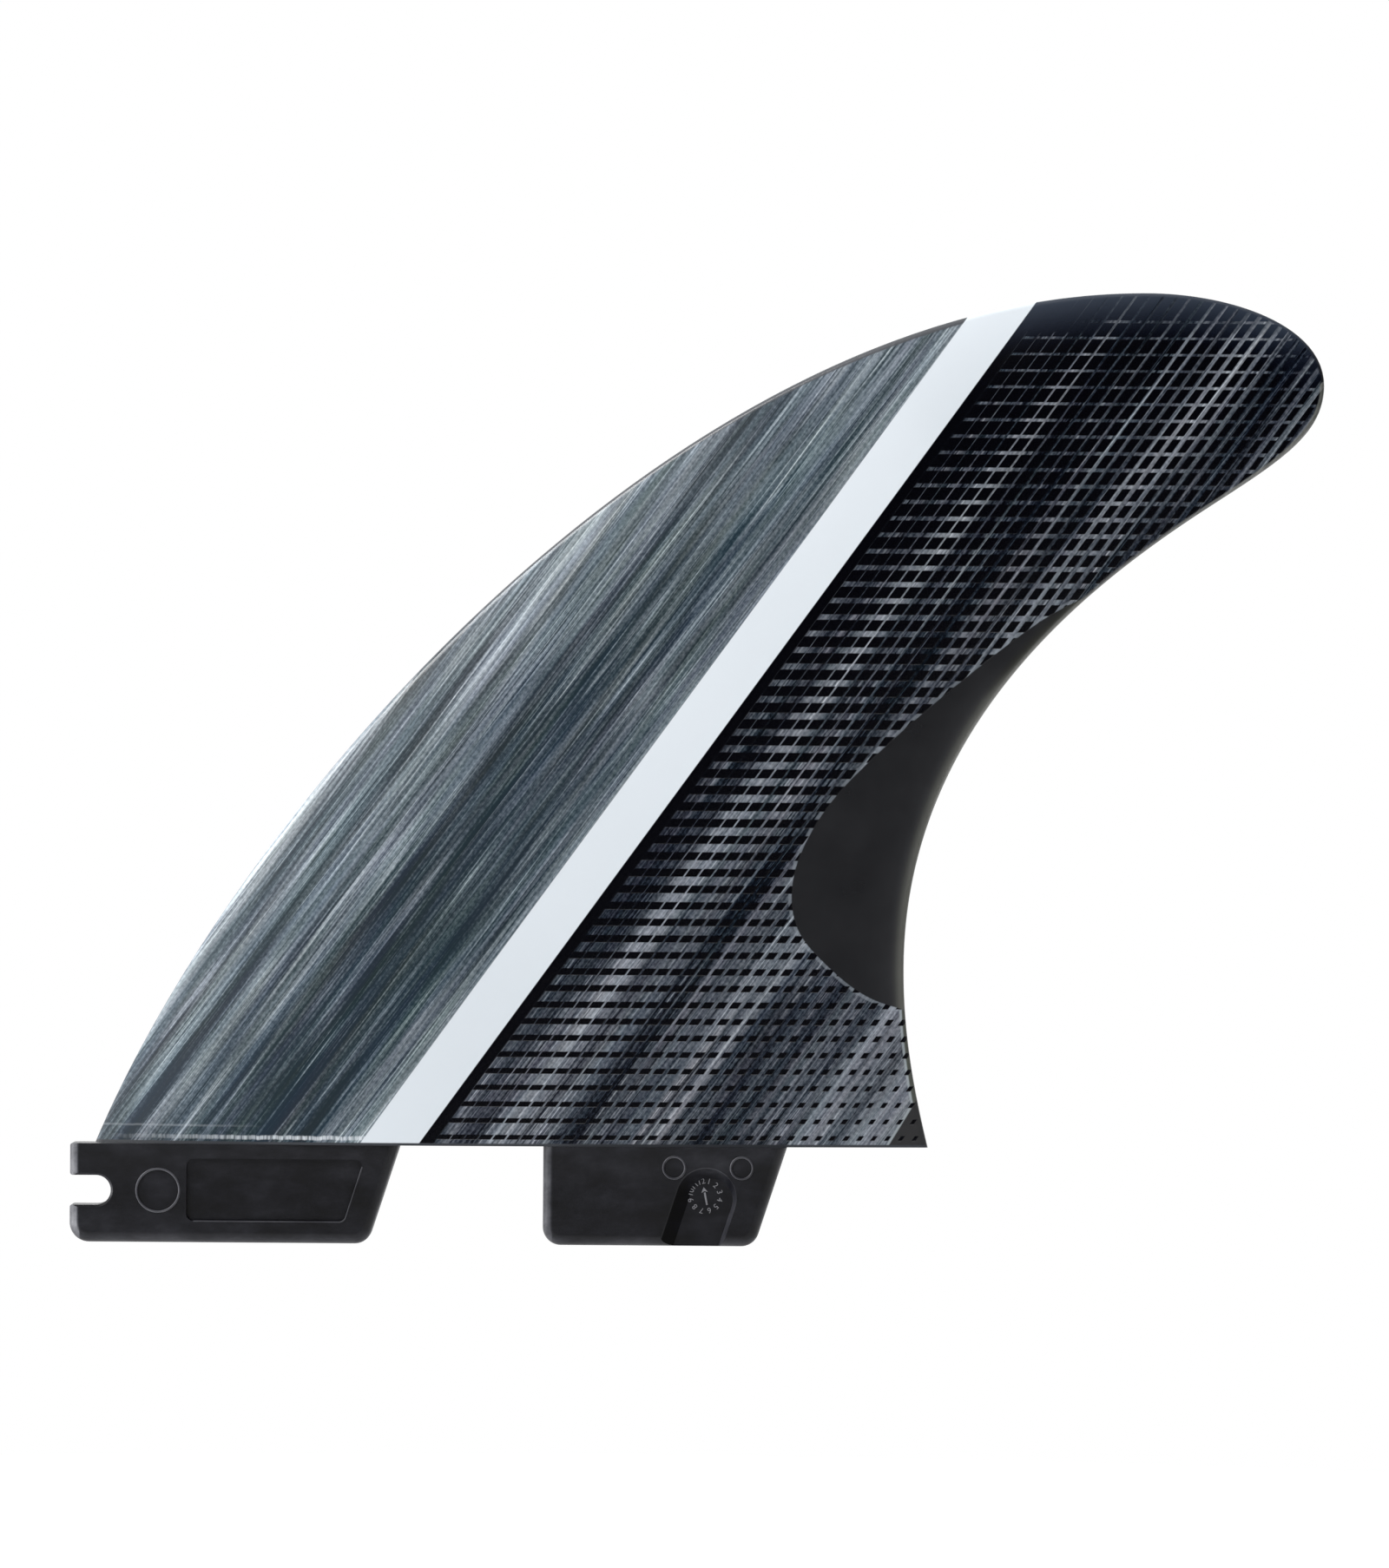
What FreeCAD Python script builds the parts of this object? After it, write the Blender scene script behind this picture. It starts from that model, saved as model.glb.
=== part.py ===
import FreeCAD, Part
import math
import os

# Surfboard side fin: one laminated blade on two moulded base tabs.
# X runs from the leading edge to the trailing edge and Z from the base to the tip.
# The curved outer face looks towards -Y and the flat inner face towards +Y.
# The origin is the middle of the base line, half way through the thickness of the tabs.

V = FreeCAD.Vector

# Blade outline, in the plane of the fin (mm, degrees)
base_length = 115.0          # leading corner to trailing corner on the base line
blade_height = 118.3         # base line to the crown, the highest point
tip_overhang = 54.0          # tip past the trailing corner
tip_drop = 12.7              # crown to the level of the furthest point of the tip
crown_setback = 24.5         # furthest point of the tip back to the crown
waist_inset = 3.5            # trailing edge at its narrowest, ahead of the trailing corner
waist_level = 25.0           # height of that place
hollow_setback = 14.5        # furthest point of the tip back to the end of the hollow
hollow_drop = 28.7           # crown down to the end of the hollow
hollow_angle = 33.2          # slope of the trailing edge where the hollow ends
rake_angle = 67.5            # slope of the leading edge at the base
heel_angle = 76.0            # slope of the trailing edge at the base

# How far each curve keeps the direction that it starts in (mm)
rake_pull = 51.2
brow_pull = 63.0
crown_pull = 12.2
tip_upper_pull = 8.1
tip_lower_pull = 6.3
hollow_tip_pull = 11.0
hollow_waist_pull = 17.1
waist_upper_pull = 35.4
waist_lower_pull = 7.4
heel_pull = 10.8

# Foil: flat inside, curved outside (mm, and shares of the chord)
base_thickness = 7.0         # thickest place on the base line
tip_thickness = 1.5          # thickest place at the end of the tip
leading_edge_thickness = 1.2
trailing_edge_thickness = 0.9
thickest_share = 0.36        # place of the greatest thickness along the chord
nose_power = 2.4             # how full the foil is ahead of it
tail_power = 1.7             # and behind it
rim_round = 0.5              # rounding of the rim on the curved side

# Both tabs
tab_thickness = 6.3
tab_depth = 13.6             # below the base line
tab_slant = 18.0             # lean of the rear edges from the vertical
tab_round = 1.4              # rounding of the long edges
nose_overhang = 3.2          # front tab ahead of the leading corner
tab_gap = 19.7               # between the tabs on the base line

# Keys of the tabs, moulded into the blade
key_thickness = 2.0
key_height = 6.0
key_wall = 1.25              # laminate between the key and the flat inner face
key_corner = 1.5
key_margin = 5.0             # key shorter than its tab at the thick side
key_tip_margin = 18.5        # front key behind the front of its tab
key_tail_margin = 12.0       # rear key ahead of the rear of its tab

# Front tab
front_tab_length = 45.45     # along the base line
front_toe_radius = 2.7
front_heel_radius = 2.4
prong_radius = 0.45
notch_height = 4.1
notch_depth = 5.7
notch_drop = 6.43            # base line to the middle of the notch
notch_mouth_radius = 0.4
notch_edge_break = 0.3

# Field for moulded lettering on the front tab, left bare
field_depth = 0.6
field_start = 16.1           # behind the front of the tab
field_end_margin = 4.15      # ahead of the slanted rear edge
field_top = 2.0              # below the base line
field_height = 8.6
field_corner = 1.0

# Rear tab
rear_tab_length = 33.55
rear_toe_radius = 2.5
rear_heel_radius = 2.5
channel_radius = 3.8
channel_floor_radius = 2.95
channel_floor_shift = 0.75   # floor moved towards the rear edge, so the front wall slopes
channel_depth = 1.0
channel_place = 22.45        # centre of its round end behind the front of the tab
channel_drop = 7.0           # and below the base line

# Round marks of the ejector pins, on the curved side of the tabs
pin_mark_depth = 0.15
front_mark_radius = 3.1
front_mark_place = 12.2      # behind the front of the tab
front_mark_drop = 6.4        # below the base line
rear_mark_radius = 1.65
rear_mark_drop = 2.8
rear_mark_places = (18.05, 27.35)

# The foil surface is laid through rows of points from edge to edge
row_count = 11               # rows along the span
row_start = -0.04            # first row below the base line, as a share of the edges
row_end = 1.20               # last row past the tip
column_count = 13            # points from the leading edge to the trailing edge
column_overrun = 0.05        # share of the chord past each edge

# Places that follow from the sizes above
half_tab = tab_thickness / 2
lead_corner = V(-base_length / 2, 0, 0)
trail_corner = V(base_length / 2, 0, 0)
tip_point = V(trail_corner.x + tip_overhang, 0, blade_height - tip_drop)
crown_point = V(tip_point.x - crown_setback, 0, blade_height)
hollow_point = V(tip_point.x - hollow_setback, 0, blade_height - hollow_drop)
waist_point = V(trail_corner.x - waist_inset, 0, waist_level)
front_tab_start = lead_corner.x - nose_overhang
front_tab_end = front_tab_start + front_tab_length
rear_tab_start = front_tab_end + tab_gap
rear_tab_end = rear_tab_start + rear_tab_length
inner_face = half_tab
key_centre = inner_face - key_wall - key_thickness / 2
slant_run = math.tan(math.radians(tab_slant))


def heading(degrees):
    """Direction in the plane of the fin, measured from +X towards +Z."""
    angle = math.radians(degrees)
    return V(math.cos(angle), 0, math.sin(angle))


def bezier(start, start_pull, end_pull, end):
    """Cubic curve between two points, pulled along a vector at each end."""
    curve = Part.BezierCurve()
    curve.setPoles([start, start + start_pull, end + end_pull, end])
    return curve


def leading_edge():
    """Curve from the leading corner up to the crown."""
    return bezier(lead_corner, heading(rake_angle) * rake_pull, V(-brow_pull, 0, 0), crown_point)


def tip_curves():
    """The round tip, from the crown to the end of the hollow."""
    over = bezier(crown_point, V(crown_pull, 0, 0), V(0, 0, tip_upper_pull), tip_point)
    under = bezier(tip_point, V(0, 0, -tip_lower_pull), heading(hollow_angle) * hollow_tip_pull, hollow_point)
    return [over, under]


def trailing_edge():
    """Curves from the trailing corner up to the end of the hollow."""
    heel_direction = heading(180 - heel_angle)
    heel = bezier(trail_corner, heel_direction * heel_pull, V(0, 0, -waist_lower_pull), waist_point)
    hollow_end = heading(hollow_angle) * -hollow_waist_pull
    hollow = bezier(waist_point, V(0, 0, waist_upper_pull), hollow_end, hollow_point)
    return [heel, hollow]


def point_along(curves, share):
    """Point at a share of a chain's length, straight on past either end."""
    lengths = [curve.length() for curve in curves]
    distance = share * sum(lengths)
    if distance < 0:
        return curves[0].value(0) + curves[0].tangent(0)[0] * distance
    for curve, length in zip(curves, lengths):
        if distance <= length:
            return curve.value(curve.parameterAtDistance(distance, 0))
        distance -= length
    return curves[-1].value(1) + curves[-1].tangent(1)[0] * distance


def foil_thickness(span_share, chord_share):
    """Thickness of the blade at a share of the span and of the chord."""
    tip_share = 1 + crown_setback / leading_edge().length()
    thickest = base_thickness + (tip_thickness - base_thickness) * span_share / tip_share
    rim = leading_edge_thickness + (trailing_edge_thickness - leading_edge_thickness) * chord_share
    if chord_share < thickest_share:
        fullness = 1 - (1 - chord_share / thickest_share) ** nose_power
    else:
        fullness = 1 - ((chord_share - thickest_share) / (1 - thickest_share)) ** tail_power
    return rim + (thickest - rim) * fullness


def foil_surface():
    """Curved outer face, a little larger than the blade all round."""
    front = [leading_edge()]
    rear = trailing_edge()
    rows = []
    for row in range(row_count):
        span_share = row_start + (row_end - row_start) * row / (row_count - 1)
        start = point_along(front, span_share)
        end = point_along(rear, span_share)
        points = []
        for column in range(column_count):
            turn = math.pi * column / (column_count - 1)
            chord_share = (1 - math.cos(turn)) / 2 * (1 + 2 * column_overrun) - column_overrun
            place = start + (end - start) * chord_share
            place.y = inner_face - foil_thickness(span_share, chord_share)
            points.append(place)
        rows.append(points)
    surface = Part.BSplineSurface()
    surface.interpolate(rows)
    return surface


def rounded_wire(corners, level):
    """Closed outline from (x, z, radius) corners, in a plane across Y."""
    points = [V(x, level, z) for x, z, radius in corners]
    edges = []
    last = None
    first = None
    for index, point in enumerate(points):
        radius = corners[index][2]
        back = (points[index - 1] - point).normalize()
        ahead = (points[(index + 1) % len(points)] - point).normalize()
        half_turn = back.getAngle(ahead) / 2
        reach = radius / math.tan(half_turn)
        start = point + back * reach
        end = point + ahead * reach
        if last is not None and (start - last).Length > 1e-6:
            edges.append(Part.makeLine(last, start))
        if radius > 0:
            middle = point + (back + ahead).normalize() * (radius / math.sin(half_turn) - radius)
            edges.append(Part.Arc(start, middle, end).toShape())
        last = end
        if first is None:
            first = start
    if (first - last).Length > 1e-6:
        edges.append(Part.makeLine(last, first))
    return Part.Wire(edges)


def plate(corners, low, high):
    """Flat solid of a rounded outline between two levels of Y."""
    return Part.Face(rounded_wire(corners, low)).extrude(V(0, high - low, 0))


def side_edges(solid):
    """Long edges of a tab's two sides, apart from those at its top."""
    chosen = []
    for edge in solid.Edges:
        box = edge.BoundBox
        on_side = box.YLength < 1e-6 and abs(abs(box.YMin) - half_tab) < 1e-6
        if on_side and box.ZMin < -1e-6:
            chosen.append(edge)
    return chosen


def round_mark(place, drop, radius):
    """Shallow round mark of an ejector pin on the curved side."""
    return Part.makeCylinder(radius, 2 * pin_mark_depth, V(place, -half_tab - pin_mark_depth, -drop), V(0, 1, 0))


def key(start, end):
    """Tongue on top of a tab, moulded into the blade."""
    low = key_centre - key_thickness / 2
    corners = [(start, 0, 0), (end, 0, 0), (end, key_height, key_corner), (start, key_height, key_corner)]
    return plate(corners, low, low + key_thickness)


def tab_body(start, end, toe_radius, heel_radius):
    """Tab with a slanted rear edge and rounded long edges."""
    foot_end = end - slant_run * tab_depth
    corners = [
        (start, 0, 0),
        (end, 0, 0),
        (foot_end, -tab_depth, heel_radius),
        (start, -tab_depth, toe_radius),
    ]
    body = plate(corners, -half_tab, half_tab)
    return body.makeFillet(tab_round, side_edges(body))


def notch_wire(growth, level):
    """Outline of the notch, which grows by an amount all round."""
    reach = notch_height / 2 + growth
    top = reach - notch_drop
    bottom = -reach - notch_drop
    clear = 2 * notch_mouth_radius
    outside = front_tab_start - tab_round
    end = front_tab_start + notch_depth + growth
    corners = [
        (outside, top + clear, 0),
        (front_tab_start, top + clear, 0),
        (front_tab_start, top, notch_mouth_radius),
        (end, top, reach),
        (end, bottom, reach),
        (front_tab_start, bottom, notch_mouth_radius),
        (front_tab_start, bottom - clear, 0),
        (outside, bottom - clear, 0),
    ]
    return rounded_wire(corners, level)


def notch():
    """Notch with broken edges that the retaining pin of the board enters from the front."""
    body = Part.Face(notch_wire(0, -tab_thickness)).extrude(V(0, 2 * tab_thickness, 0))
    for side in (-1, 1):
        outer = notch_wire(2 * notch_edge_break, side * (half_tab + notch_edge_break))
        inner = notch_wire(0, side * (half_tab - notch_edge_break))
        body = body.fuse(Part.makeLoft([outer, inner], True, True))
    return body


def prong_corner():
    """What is cut away to round the upper front corner of the front tab."""
    outside = front_tab_start - prong_radius
    inside = front_tab_start + prong_radius
    corners = [
        (outside, prong_radius, 0),
        (inside, prong_radius, 0),
        (inside, 0, 0),
        (front_tab_start, 0, prong_radius),
        (front_tab_start, -prong_radius, 0),
        (outside, -prong_radius, 0),
    ]
    return plate(corners, -tab_thickness, tab_thickness)


def lettering_field():
    """Shallow field on the front tab, with its rear end parallel to the slanted edge."""
    start = front_tab_start + field_start
    bottom = field_top + field_height
    corners = [
        (start, -field_top, field_corner),
        (front_tab_end - field_end_margin - slant_run * field_top, -field_top, field_corner),
        (front_tab_end - field_end_margin - slant_run * bottom, -bottom, field_corner),
        (start, -bottom, field_corner),
    ]
    return plate(corners, -half_tab - field_depth, -half_tab + field_depth)


def channel_wire(radius, shift, level):
    """Outline of a channel with a round top, leaning like the slanted edge and open below."""
    across = V(math.cos(math.radians(tab_slant)), 0, -math.sin(math.radians(tab_slant)))
    up = V(math.sin(math.radians(tab_slant)), 0, math.cos(math.radians(tab_slant)))
    centre = V(rear_tab_start + channel_place, level, -channel_drop) + across * shift
    run = up * (-2 * tab_depth)
    left = centre - across * radius
    right = centre + across * radius
    arc = Part.Arc(left, centre + up * radius, right).toShape()
    sides = [Part.makeLine(right, right + run), Part.makeLine(right + run, left + run), Part.makeLine(left + run, left)]
    return Part.Wire([arc] + sides)


def channel():
    """Shallow channel on the rear tab for the retaining roller of the board."""
    rise = 2
    outer_growth = (channel_radius - channel_floor_radius) * rise
    mouth = channel_wire(channel_radius + outer_growth, -channel_floor_shift * (rise - 1), -half_tab - channel_depth)
    floor = channel_wire(channel_floor_radius, channel_floor_shift, -half_tab + channel_depth)
    return Part.makeLoft([mouth, floor], True, True)


def front_tab():
    """Front tab with its pin notch, bare field, pin mark and key."""
    body = tab_body(front_tab_start, front_tab_end, front_toe_radius, front_heel_radius)
    for tool in (prong_corner(), notch(), lettering_field()):
        body = body.cut(tool)
    body = body.cut(round_mark(front_tab_start + front_mark_place, front_mark_drop, front_mark_radius))
    return body.fuse(key(front_tab_start + key_tip_margin, front_tab_end - key_margin)).removeSplitter()


def rear_tab():
    """Rear tab with its roller channel, pin marks and key."""
    body = tab_body(rear_tab_start, rear_tab_end, rear_toe_radius, rear_heel_radius)
    body = body.cut(channel())
    for place in rear_mark_places:
        body = body.cut(round_mark(rear_tab_start + place, rear_mark_drop, rear_mark_radius))
    return body.fuse(key(rear_tab_start + key_margin, rear_tab_end - key_tail_margin)).removeSplitter()


def blade_outline():
    """Closed outline of the blade in the plane of the flat inner face."""
    curves = [leading_edge()] + tip_curves()
    edges = [curve.toShape() for curve in curves]
    for curve in reversed(trailing_edge()):
        edges.append(curve.toShape())
    edges.append(Part.makeLine(trail_corner, lead_corner))
    wire = Part.Wire(Part.__sortEdges__(edges))
    wire.translate(V(0, inner_face, 0))
    return wire


def is_outer_rim(edge):
    """Whether an edge of the blade lies off both its base and its flat inner face."""
    box = edge.BoundBox
    on_base = box.ZMax < 1e-6
    on_inner_face = box.YMin > inner_face - 1e-6
    return not on_base and not on_inner_face


def blade(tabs):
    """Blade: its outline under the foil surface, with a pocket for each key."""
    depth = 2 * base_thickness
    prism = Part.Face(blade_outline()).extrude(V(0, -depth, 0))
    under_surface = foil_surface().toShape().extrude(V(0, depth, 0))
    body = prism.common(under_surface)
    body = body.makeFillet(rim_round, [edge for edge in body.Edges if is_outer_rim(edge)])
    for tab in tabs:
        body = body.cut(tab)
    return body


def main():
    """Write one file for each piece."""
    os.makedirs("parts", exist_ok=True)
    pieces = {"front_tab": front_tab(), "rear_tab": rear_tab()}
    pieces["blade"] = blade(list(pieces.values()))
    for name, shape in pieces.items():
        print(name, shape.isValid(), len(shape.Solids), round(shape.Volume, 1), shape.BoundBox)
        shape.exportStep("parts/" + name + ".step")


main()
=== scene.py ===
"""Looks of a surfboard side fin: a printed laminate blade on two moulded nylon tabs.

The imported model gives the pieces, their places and their sizes. This script lays a smooth
foil over the blade, prints its cloth, dresses the tabs and lights them. Lengths in the
classes are in mm and angles in degrees; what reaches the scene is in metres.
"""

import logging
import math
from dataclasses import dataclass, field
from enum import Enum
from functools import partial
from typing import Iterable, Sequence, Union

import bpy
from mathutils import Matrix, Vector

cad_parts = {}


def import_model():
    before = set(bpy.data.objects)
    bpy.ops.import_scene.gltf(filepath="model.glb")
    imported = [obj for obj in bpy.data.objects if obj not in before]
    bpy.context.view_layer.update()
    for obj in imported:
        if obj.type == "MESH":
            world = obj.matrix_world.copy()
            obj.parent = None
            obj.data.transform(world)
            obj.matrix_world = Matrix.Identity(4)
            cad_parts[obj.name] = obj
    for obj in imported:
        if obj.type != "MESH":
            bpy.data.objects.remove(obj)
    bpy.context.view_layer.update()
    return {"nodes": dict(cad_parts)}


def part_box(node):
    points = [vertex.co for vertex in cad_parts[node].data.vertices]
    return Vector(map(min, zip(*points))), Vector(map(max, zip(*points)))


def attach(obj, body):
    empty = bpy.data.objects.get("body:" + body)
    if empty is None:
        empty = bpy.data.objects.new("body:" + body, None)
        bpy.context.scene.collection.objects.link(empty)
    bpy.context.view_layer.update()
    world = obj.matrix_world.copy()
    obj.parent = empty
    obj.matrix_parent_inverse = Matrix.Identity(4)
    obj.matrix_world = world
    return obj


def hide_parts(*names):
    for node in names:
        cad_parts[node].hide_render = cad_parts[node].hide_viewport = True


LOG = logging.getLogger("fin")
MM = 0.001
BODY = "root"
GAMMA = 2.2
WHITE = (1.0, 1.0, 1.0, 1.0)
UPRIGHT = (math.radians(90), 0.0, 0.0)

Socket = bpy.types.NodeSocket
Piece = bpy.types.Object
Material = bpy.types.Material
Number = Union[float, "Flow"]
Pairs = tuple[tuple[float, float], ...]
Triples = tuple[tuple[float, float, float], ...]
Levels = tuple[int, int, int]


class Slot(Enum):
    """Material slots of the record; nothing in this script gives them to the pieces."""

    LAMINATE = "laminate"
    NYLON = "tab_nylon"


class Flow:
    """One value inside a node tree. Arithmetic on it adds the nodes that work it out."""

    def __init__(self, graph: "Graph", socket: Socket) -> None:
        """Keep the tree and the socket that gives the value."""
        self.graph = graph
        self.socket = socket

    def math(self, operation: str, *others: Number) -> "Flow":
        """Result of a Math node on this value and further operands."""
        inputs = dict(enumerate((self, *others)))
        return self.graph.flow(self.graph.fed("ShaderNodeMath", inputs, operation=operation))

    def __add__(self, other: Number) -> "Flow":
        """Sum of two values."""
        return self.math("ADD", other)

    def __sub__(self, other: Number) -> "Flow":
        """Difference of two values."""
        return self.math("SUBTRACT", other)

    def __rsub__(self, other: float) -> "Flow":
        """A number less this value."""
        return (self * -1) + other

    def __mul__(self, other: Number) -> "Flow":
        """Product of two values."""
        return self.math("MULTIPLY", other)

    def __truediv__(self, other: Number) -> "Flow":
        """Quotient of two values."""
        return self.math("DIVIDE", other)

    __radd__ = __add__
    __rmul__ = __mul__

    def power(self, exponent: Number) -> "Flow":
        """This value to a power, taken as nought where it is negative."""
        return self.at_least(0).math("POWER", exponent)

    def root(self) -> "Flow":
        """Square root, taken as nought where the value is negative."""
        return self.at_least(0).math("SQRT")

    def size(self) -> "Flow":
        """The value without its sign."""
        return self.math("ABSOLUTE")

    def at_least(self, low: Number) -> "Flow":
        """The larger of two values."""
        return self.math("MAXIMUM", low)

    def at_most(self, high: Number) -> "Flow":
        """The smaller of two values."""
        return self.math("MINIMUM", high)

    def above(self, limit: Number) -> "Flow":
        """One where the value is above a limit and nought elsewhere."""
        return self.math("GREATER_THAN", limit)

    def ramp(self, low: float, high: float, start: float = 0, end: float = 1) -> "Flow":
        """Straight clamped change from one result to another.

        Args:
            low: Value at which the change starts.
            high: Value at which it ends, which may be the smaller one.
            start: Result before the change.
            end: Result after it.

        Returns:
            The mapped value.
        """
        inputs = {"Value": self, "From Min": low, "From Max": high, "To Min": start, "To Max": end}
        return self.graph.flow(self.graph.fed("ShaderNodeMapRange", inputs, clamp=True))

    def step(self, place: Number, softness: float) -> "Flow":
        """Soft step from nought to one, half way at a place."""
        return ((self - place) / softness + 0.5).ramp(0, 1)

    def fall(self, place: Number, softness: float) -> "Flow":
        """Soft step from one to nought, half way at a place."""
        return (place - self).step(0, softness)

    def near(self, place: Number, reach: float, softness: float) -> "Flow":
        """One within reach of a place and nought further off, with soft edges."""
        return (self - place).size().fall(reach, softness)

    def from_middle(self, pitch: float, origin: float) -> "Flow":
        """Distance to the middle of the nearest of many evenly spaced lines."""
        turns = (self - origin) / pitch
        return (turns - turns.math("ROUND")).size() * pitch

    def curve(self, points: Pairs) -> "Flow":
        """Smooth curve through a few given points.

        Args:
            points: Pairs of value and result, with the values rising.

        Returns:
            The result for this value.
        """
        first, last = points[0][0], points[-1][0]
        node = self.graph.node("ShaderNodeFloatCurve")
        line = node.mapping.curves[0]
        node.mapping.use_clip = False
        while len(line.points) < len(points):
            line.points.new(0.5, 0.5)
        for point, (value, result) in zip(line.points, points):
            point.location = ((value - first) / (last - first), result)
        node.mapping.update()
        self.graph.feed(node.inputs["Value"], self.ramp(first, last))
        return self.graph.flow(node)


class Graph:
    """A node tree and short ways to add to it."""

    def __init__(self, tree: bpy.types.NodeTree) -> None:
        """Keep the tree that nodes are added to."""
        self.tree = tree

    def node(self, kind: str, **settings: object) -> bpy.types.Node:
        """Add a node of a kind and set its properties."""
        made = self.tree.nodes.new(kind)
        for name, value in settings.items():
            setattr(made, name, value)
        return made

    def feed(self, socket: Socket, value: object) -> None:
        """Link a value to a socket, or set it there where it is a constant."""
        if isinstance(value, Flow):
            value = value.socket
        if isinstance(value, Socket):
            self.tree.links.new(value, socket)
        else:
            socket.default_value = value

    def fed(self, kind: str, inputs: dict[object, object], **settings: object) -> bpy.types.Node:
        """Add a node with its inputs fed.

        Args:
            kind: Type of the node.
            inputs: Values by socket name or place.
            settings: Properties of the node.

        Returns:
            The new node.
        """
        made = self.node(kind, **settings)
        for key, value in inputs.items():
            self.feed(made.inputs[key], value)
        return made

    def first(self, kind: str, inputs: dict[object, object], **settings: object) -> Socket:
        """First output of a new node with its inputs fed."""
        return self.fed(kind, inputs, **settings).outputs[0]

    def flow(self, node: bpy.types.Node, output: object = 0) -> Flow:
        """One output of a node as a value."""
        return Flow(self, node.outputs[output])

    def mixed(self, kind: str, share: Number, first: object, second: object) -> Socket:
        """Blend of two values.

        Args:
            kind: Type of the values: FLOAT, VECTOR or RGBA.
            share: Share of the second value, from nought to one.
            first: Value at a share of nought.
            second: Value at a share of one.

        Returns:
            The blend.
        """
        place = ("FLOAT", "VECTOR", "RGBA").index(kind)
        inputs = {0: share, 2 + 2 * place: first, 3 + 2 * place: second}
        return self.fed("ShaderNodeMix", inputs, data_type=kind).outputs[place]

    def mix(self, share: Number, first: Number, second: Number) -> Flow:
        """Blend of two numbers by a share from nought to one."""
        return Flow(self, self.mixed("FLOAT", share, first, second))

    def vector(self, x: Number = 0, y: Number = 0, z: Number = 0) -> Socket:
        """Vector made of three numbers."""
        return self.first("ShaderNodeCombineXYZ", {0: x, 1: y, 2: z})

    def parts_of(self, vector: Socket) -> tuple[Flow, Flow, Flow]:
        """The three numbers of a vector."""
        node = self.fed("ShaderNodeSeparateXYZ", {0: vector})
        return self.flow(node, 0), self.flow(node, 1), self.flow(node, 2)


class Shader(Graph):
    """The tree of one material."""

    def __init__(self, name: str) -> None:
        """Start a material that holds only its output.

        Args:
            name: Name of the material.
        """
        self.material = bpy.data.materials.new(name)
        self.material.use_nodes = True
        super().__init__(self.material.node_tree)
        self.tree.nodes.clear()
        self.output = self.node("ShaderNodeOutputMaterial")

    def place(self) -> tuple[Flow, Flow, Flow]:
        """Object coordinates in mm."""
        inputs = {0: self.node("ShaderNodeTexCoord").outputs["Object"], "Scale": 1 / MM}
        return self.parts_of(self.first("ShaderNodeVectorMath", inputs, operation="SCALE"))

    def attribute(self, name: str) -> Flow:
        """A number stored on the piece's points."""
        return self.flow(self.node("ShaderNodeAttribute", attribute_name=name), "Fac")

    def noise(self, *place: Number, detail: float = 1, roughness: float = 0.5) -> Flow:
        """Noise about nought, roughly from -0.5 to 0.5.

        Args:
            place: Two or three coordinates at which it is read.
            detail: How many finer layers it has.
            roughness: How strong the finer layers are.

        Returns:
            The noise.
        """
        inputs = {"Vector": self.vector(*place), "Scale": 1, "Detail": detail, "Roughness": roughness}
        return self.flow(self.fed("ShaderNodeTexNoise", inputs, noise_dimensions=f"{len(place)}D")) - 0.5

    def tinted(self, tone: Flow, tint: tuple[Number, Number, Number]) -> Socket:
        """Colour from a tone as it looks on a display, with a tint added to each channel."""
        channels = {place: (tone + part).at_least(0) for place, part in enumerate(tint)}
        mixed = self.first("ShaderNodeCombineColor", channels)
        return self.first("ShaderNodeGamma", {"Color": mixed, "Gamma": GAMMA})

    def blend(self, share: Number, first: object, second: object) -> Socket:
        """Blend of two colours by a share from nought to one."""
        return self.mixed("RGBA", share, first, second)

    def layered(self, colour: object, *layers: tuple[Number, object]) -> Socket:
        """Lay colours over one another.

        Args:
            colour: Colour at the bottom.
            layers: Share and colour of each layer, from the bottom up.

        Returns:
            The colour on top.
        """
        for share, layer in layers:
            colour = self.blend(share, colour, layer)
        return colour

    def bump(self, height: Flow, distance: float) -> Socket:
        """Normal of a surface raised by a height, with the distance in mm."""
        return self.first("ShaderNodeBump", {"Strength": 1, "Distance": distance * MM, "Height": height})

    def finish(self, **sockets: object) -> Material:
        """Close the tree with a Principled shader.

        Args:
            sockets: Inputs by name, with underscores for spaces.

        Returns:
            The finished material.
        """
        inputs = {name.replace("_", " "): value for name, value in sockets.items()}
        surface = self.first("ShaderNodeBsdfPrincipled", inputs)
        self.tree.links.new(surface, self.output.inputs["Surface"])
        return self.material


def display(level: int) -> float:
    """A level from 0 to 255 as a display tone."""
    return level / 255


def paint(red: int, green: int, blue: int) -> tuple[float, float, float, float]:
    """Linear colour of three display levels."""
    return (*(display(level) ** GAMMA for level in (red, green, blue)), 1.0)


def heading(degrees: float) -> Vector:
    """Direction in the plane of the fin, measured from +X towards +Z."""
    angle = math.radians(degrees)
    return Vector((math.cos(angle), 0, math.sin(angle)))


def linked(name: str, data: bpy.types.ID) -> Piece:
    """Make an object of some data and link it to the scene."""
    made = bpy.data.objects.new(name, data)
    bpy.context.scene.collection.objects.link(made)
    return made


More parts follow.
